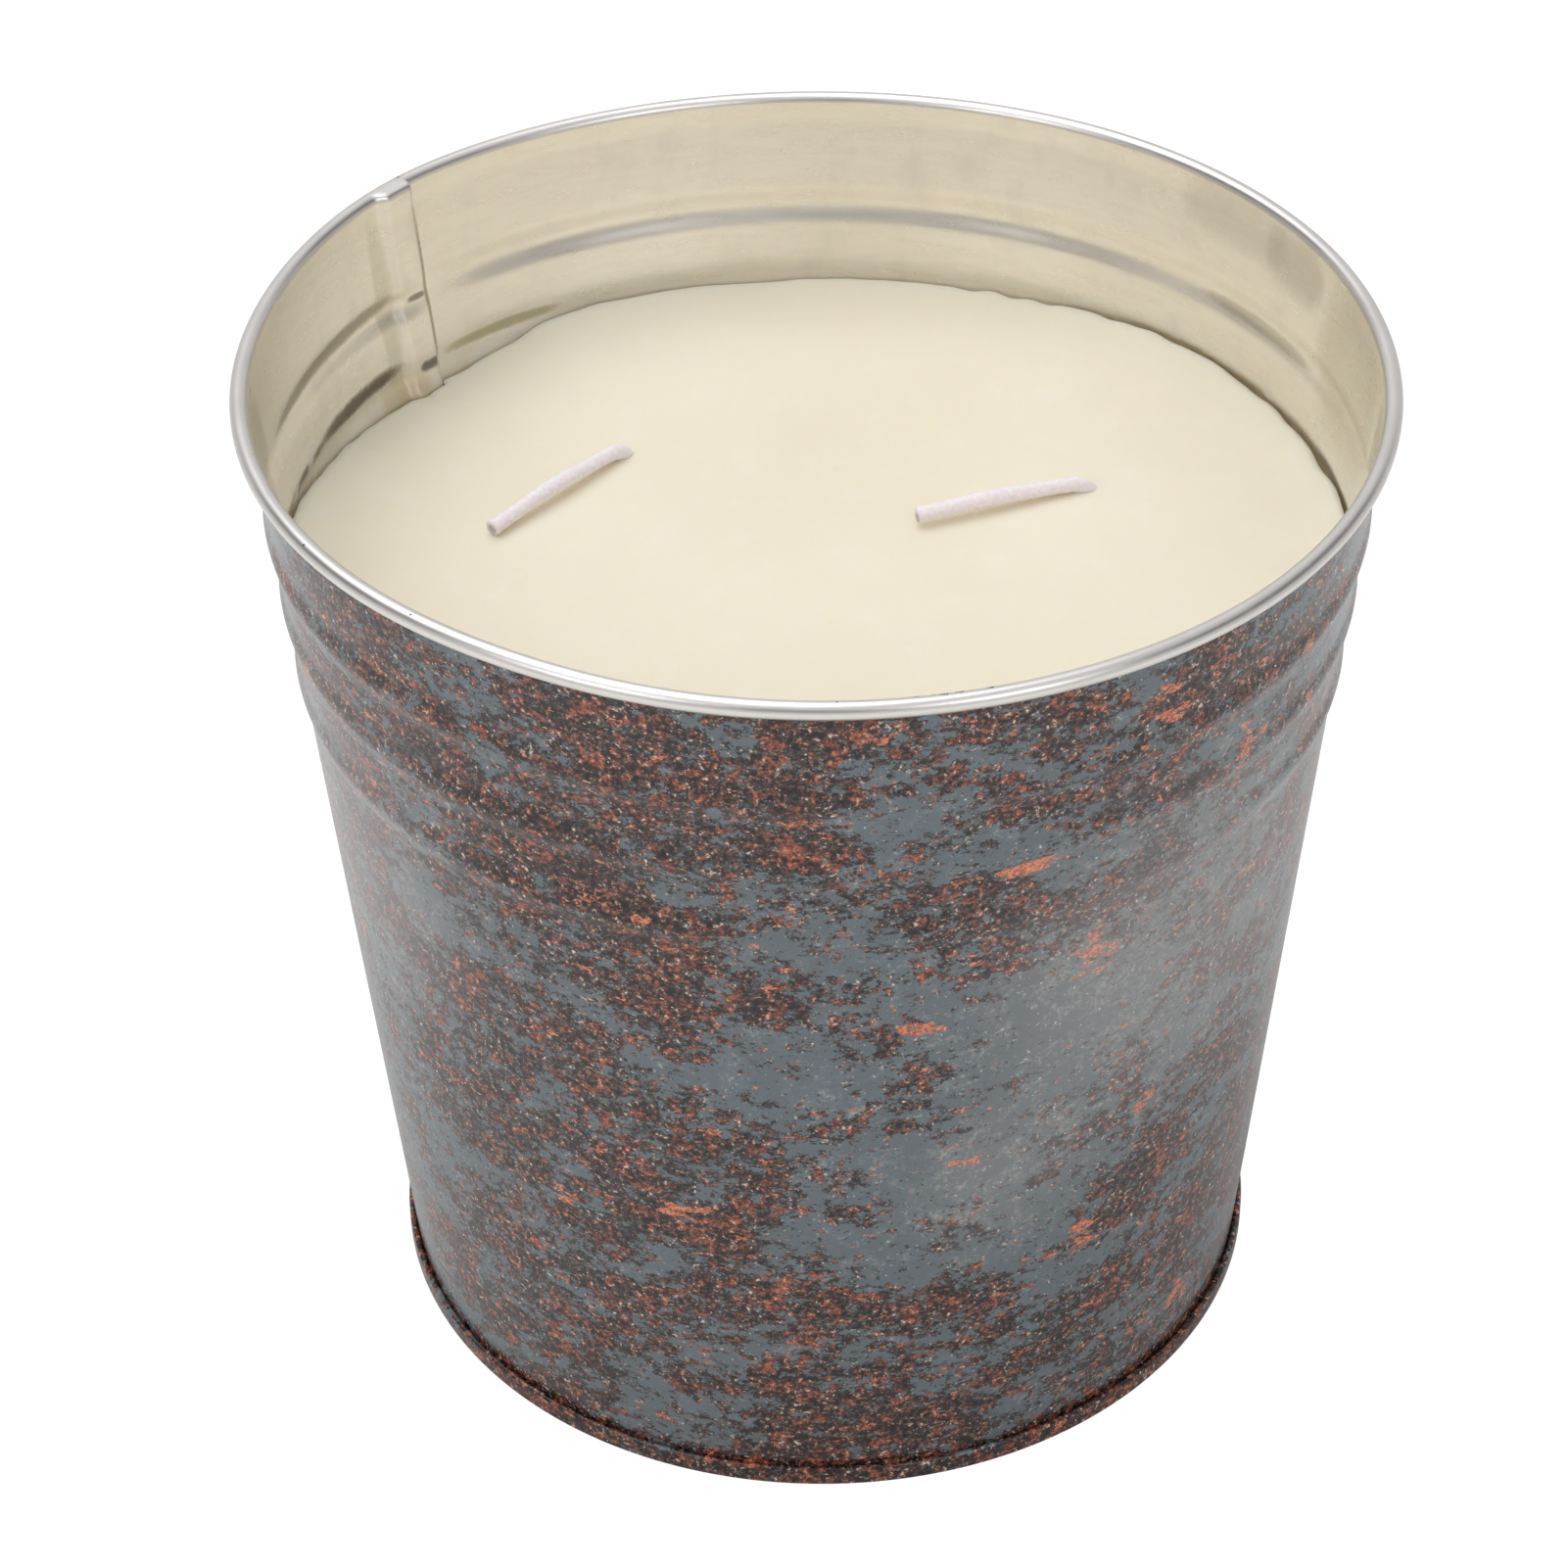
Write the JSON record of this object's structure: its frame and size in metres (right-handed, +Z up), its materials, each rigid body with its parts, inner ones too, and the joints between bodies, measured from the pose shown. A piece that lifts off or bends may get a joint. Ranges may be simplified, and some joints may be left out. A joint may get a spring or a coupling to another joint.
{
  "type": "citronella candle bucket",
  "caption": "Tapered tinplate candle bucket with rolled beads, open curled rim and seamed bottom, filled with poured wax and bent-over cotton wicks.",
  "frame": {"origin": "on the bucket's axis, at the level it stands on", "axes": "+Z up along the bucket's axis; the lock seam in the wall is at the left back, about 142 degrees round from +X towards +Y; -Y faces the viewer"},
  "size_m": [0.1652, 0.1652, 0.156],
  "materials": {
    "printed_tinplate": "gloss lacquer over a printed rust patina outside, bare bright tin inside and on the curl",
    "wax": "cream poured wax, satin",
    "wick_cotton": "waxed braided cotton",
    "clip_tin": "plain tin"
  },
  "bodies": {
    "root": {"bucket_wall": "printed_tinplate", "bottom_plate": "printed_tinplate", "wax_fill": "wax", "wick_left": "wick_cotton", "wick_right": "wick_cotton", "wick_clip_left": "clip_tin", "wick_clip_right": "clip_tin"}
  },
  "joints": []
}
